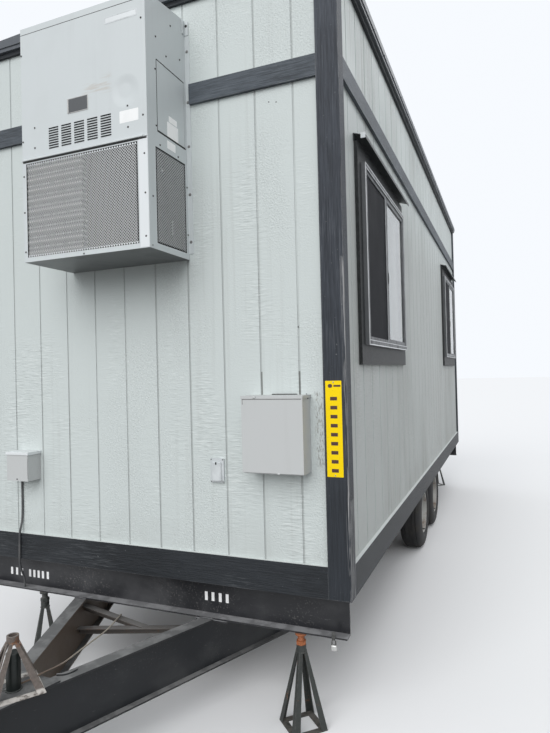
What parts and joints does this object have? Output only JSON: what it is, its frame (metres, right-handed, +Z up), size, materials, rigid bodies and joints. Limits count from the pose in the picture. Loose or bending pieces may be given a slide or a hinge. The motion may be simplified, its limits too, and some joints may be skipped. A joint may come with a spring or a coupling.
{
  "type": "portable site cabin",
  "caption": "Road-towable site cabin with grooved panel siding, dark trim, slider windows and a wall air conditioner, on a tandem axle chassis with jack stands.",
  "frame": {"origin": "middle of the footprint, hitch included, on the ground", "axes": "+Y from the hitch to the rear end, +X to the side away from the door, +Z up"},
  "size_m": [2.4768, 7.426, 3.7908],
  "materials": {
    "siding": "painted panel siding",
    "inner_wall": "pale wall panel",
    "floor": "floor boards",
    "roof_skin": "white roof membrane",
    "roof_metal": "dark edge metal",
    "trim": "dark painted boards",
    "window_metal": "bare aluminium",
    "pane": "clear glass",
    "screen": "dark insect mesh",
    "cap_metal": "dark painted metal",
    "door_paint": "painted steel door",
    "frame_steel": "black painted steel",
    "rim_paint": "worn white paint",
    "tyre": "worn rubber",
    "stand_steel": "worn black paint with rust",
    "jack_paint": "black paint",
    "rope": "weathered rope",
    "unit_paint": "grey painted sheet metal",
    "unit_mesh": "perforated sheet",
    "coil": "finned coil",
    "panel_paint": "grey enclosure paint",
    "cover_plastic": "grey weatherproof cover",
    "cable": "grey cable"
  },
  "bodies": {
    "cabin": {"front_wall": "inner_wall", "rear_wall": "inner_wall", "right_wall": "inner_wall", "left_wall": "inner_wall", "siding": "siding", "floor_joists": "floor", "floor_deck": "floor", "ceiling": "inner_wall", "roof": "roof_skin", "roof_edge": "roof_metal", "corner_boards": "trim", "bottom_bands": "trim", "mid_bands": "trim", "fascia_boards": "trim", "window_casings": "trim", "window_frames": "window_metal", "window_glass": "pane", "window_screens": "screen", "drip_caps": "cap_metal", "door": "door_paint", "door_frame": "trim", "headers": "frame_steel", "main_beams": "frame_steel", "cross_members": "frame_steel", "axles": "frame_steel", "leaf_springs": "frame_steel", "spring_hangers": "frame_steel", "jack_stands": "stand_steel", "stowed_stand": "stand_steel", "hitch_beams": "frame_steel", "hitch_cross_bars": "frame_steel", "hitch_coupler": "frame_steel", "tongue_jack": "jack_paint", "hitch_rope": "rope", "unit_cabinet": "unit_paint", "unit_grille": "unit_mesh", "unit_coil": "coil", "electrical_panel": "panel_paint", "outlet_cover": "cover_plastic", "junction_box": "panel_paint", "junction_cable": "cable"},
    "front_right_wheel": {"front_right_rim": "rim_paint", "front_right_tyre": "tyre"},
    "front_left_wheel": {"front_left_rim": "rim_paint", "front_left_tyre": "tyre"},
    "rear_right_wheel": {"rear_right_rim": "rim_paint", "rear_right_tyre": "tyre"},
    "rear_left_wheel": {"rear_left_rim": "rim_paint", "rear_left_tyre": "tyre"}
  },
  "joints": [
    {"name": "front_right_spin", "type": "hinge", "parent": "cabin", "child": "front_right_wheel", "pos_m": [1.0055, 0.581, 0.34], "axis": [1, 0, 0], "continuous": true},
    {"name": "front_left_spin", "type": "hinge", "parent": "cabin", "child": "front_left_wheel", "pos_m": [-1.0055, 0.581, 0.34], "axis": [1, 0, 0], "continuous": true},
    {"name": "rear_right_spin", "type": "hinge", "parent": "cabin", "child": "rear_right_wheel", "pos_m": [1.0055, 1.431, 0.34], "axis": [1, 0, 0], "continuous": true},
    {"name": "rear_left_spin", "type": "hinge", "parent": "cabin", "child": "rear_left_wheel", "pos_m": [-1.0055, 1.431, 0.34], "axis": [1, 0, 0], "continuous": true}
  ]
}
